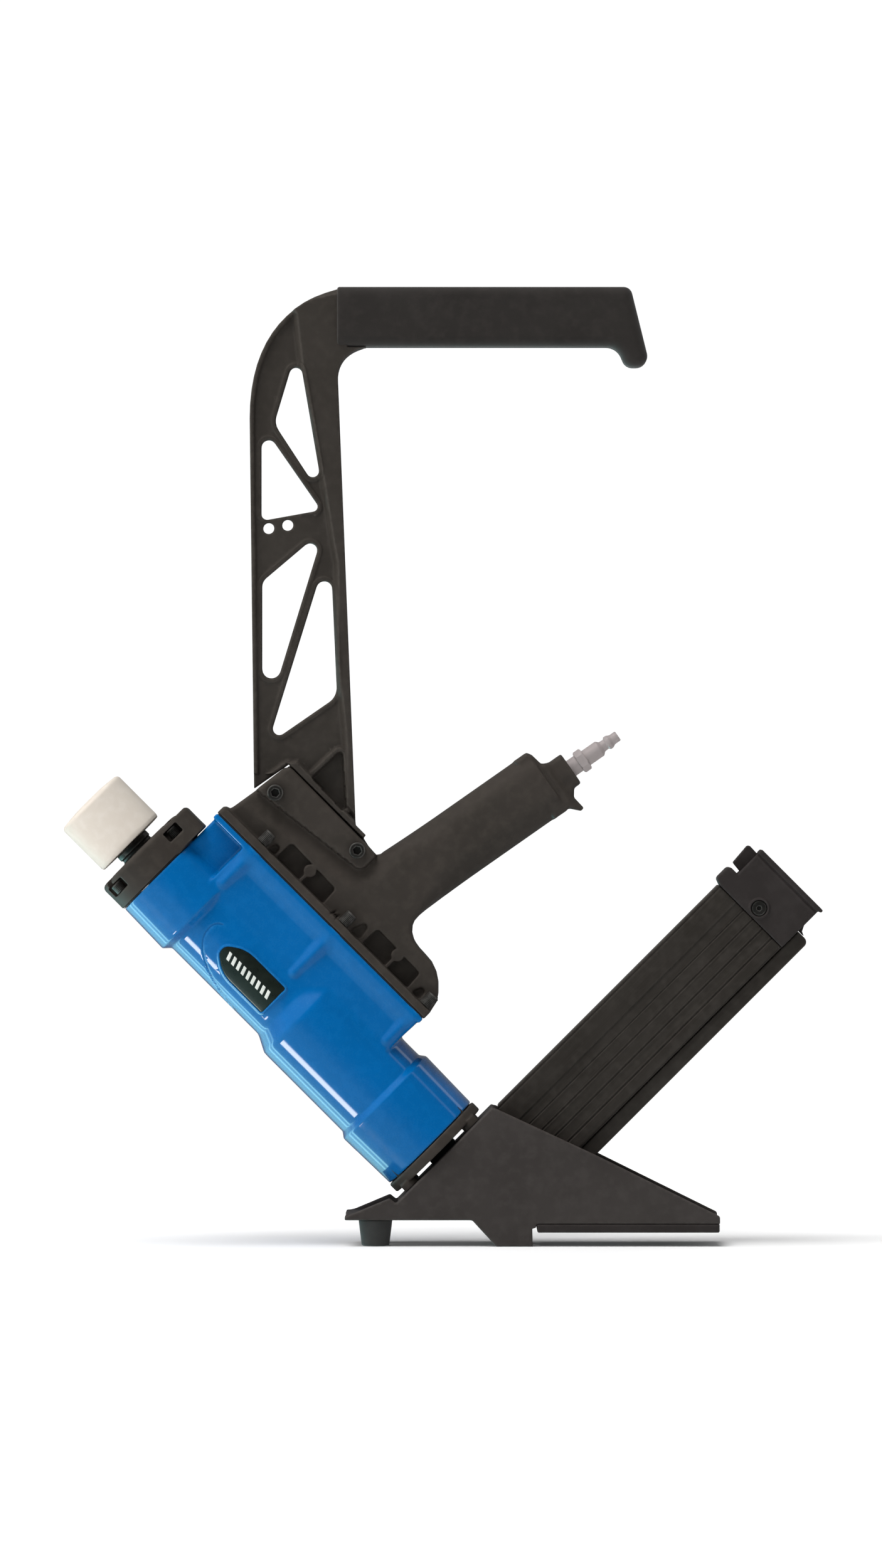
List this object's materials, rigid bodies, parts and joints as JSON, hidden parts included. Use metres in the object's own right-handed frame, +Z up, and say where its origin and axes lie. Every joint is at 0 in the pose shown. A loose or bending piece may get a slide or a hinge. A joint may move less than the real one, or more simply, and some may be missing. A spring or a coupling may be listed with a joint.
{
  "type": "flooring nailer",
  "caption": "Mallet-struck pneumatic flooring nailer with a blue leaning barrel, hand grip, slanted magazine, low shoe and tall offset handle.",
  "frame": {"origin": "centre of the tool's bounding box at floor level", "axes": "+Z up, +X from the strike cap towards the magazine, Y across the tool"},
  "size_m": [0.5178, 0.08, 0.6555],
  "materials": {
    "blue_paint": "gloss blue paint on a die casting",
    "black_casting": "satin black paint on a die casting",
    "black_anodised": "black anodised extrusion",
    "black_steel": "flat black powder coat on steel plate",
    "black_plastic": "moulded matt plastic",
    "black_rubber": "moulded rubber",
    "white_rubber": "off-white tough rubber",
    "steel": "bright machined steel",
    "dark_steel": "blackened steel",
    "spring_steel": "spring steel",
    "badge": "gloss plate with no lettering"
  },
  "bodies": {
    "tool": {"body_housing": "blue_paint", "badge_plate": "badge", "cylinder_sleeve": "steel", "bumper": "black_rubber", "head_valve_spring": "spring_steel", "nose_flange": "black_casting", "cap_gasket": "black_rubber", "cylinder_cap": "black_casting", "plunger_spring": "spring_steel", "handle_casting": "black_casting", "handle_gasket": "black_rubber", "air_plug": "steel", "long_handle": "black_casting", "top_grip": "black_rubber", "base_frame": "black_steel", "sole_plate": "black_plastic", "nose_guide": "dark_steel", "magazine_track": "black_anodised", "nose_bolt_1": "dark_steel", "nose_bolt_2": "dark_steel", "nose_bolt_3": "dark_steel", "nose_bolt_4": "dark_steel", "cap_bolt_1": "dark_steel", "cap_bolt_2": "dark_steel", "cap_bolt_3": "dark_steel", "cap_bolt_4": "dark_steel", "flange_bolt_1": "dark_steel", "flange_bolt_2": "dark_steel", "flange_bolt_3": "dark_steel", "flange_bolt_4": "dark_steel", "flange_bolt_5": "dark_steel", "flange_bolt_6": "dark_steel", "handle_bolt_1": "dark_steel", "handle_bolt_2": "dark_steel", "handle_nut_1": "dark_steel", "handle_nut_2": "dark_steel", "sole_screw_1": "dark_steel", "sole_screw_2": "dark_steel", "sole_screw_3": "dark_steel", "sole_screw_4": "dark_steel", "foot_screw_1": "dark_steel", "foot_screw_2": "dark_steel", "rear_foot_1": "black_rubber", "rear_foot_2": "black_rubber"},
    "plunger": {"plunger_stem": "dark_steel", "firing_valve": "black_plastic", "strike_cap": "white_rubber"},
    "driver": {"main_piston": "steel", "piston_seal": "black_rubber", "driver_blade": "steel"},
    "head_valve": {"head_valve": "black_plastic"},
    "magazine": {"magazine_shell": "black_anodised", "magazine_end_cap": "black_plastic", "end_cap_screw": "dark_steel", "latch_pin": "steel"},
    "latch": {"latch": "black_plastic"},
    "pusher": {"pusher": "steel", "pusher_spring": "spring_steel"}
  },
  "joints": [
    {"name": "strike_plunger_slide", "type": "slide", "parent": "tool", "child": "plunger", "axis": [0.7071, 0, -0.7071], "range_m": [0, 0.006], "stiffness_N_per_m": 2000, "springref_m": -0.005, "deforming": ["plunger_spring"]},
    {"name": "driver_slide", "type": "slide", "parent": "tool", "child": "driver", "axis": [0.7071, 0, -0.7071], "range_m": [0, 0.074]},
    {"name": "head_valve_slide", "type": "slide", "parent": "tool", "child": "head_valve", "axis": [-0.7071, 0, 0.7071], "range_m": [0, 0.004], "stiffness_N_per_m": 800, "springref_m": -0.004, "deforming": ["head_valve_spring"]},
    {"name": "magazine_slide", "type": "slide", "parent": "tool", "child": "magazine", "axis": [0.7071, 0, 0.7071], "range_m": [0, 0.15]},
    {"name": "pusher_slide", "type": "slide", "parent": "magazine", "child": "pusher", "axis": [0.7071, 0, 0.7071], "range_m": [0, 0.2], "stiffness_N_per_m": 12, "springref_m": -0.25},
    {"name": "latch_pivot", "type": "hinge", "parent": "magazine", "child": "latch", "pos_m": [0.23206, 0, 0.24112], "axis": [0, 1, 0], "range_deg": [-3.5, 0], "stiffness_Nm_per_rad": 0.6, "springref_deg": 8.59}
  ]
}
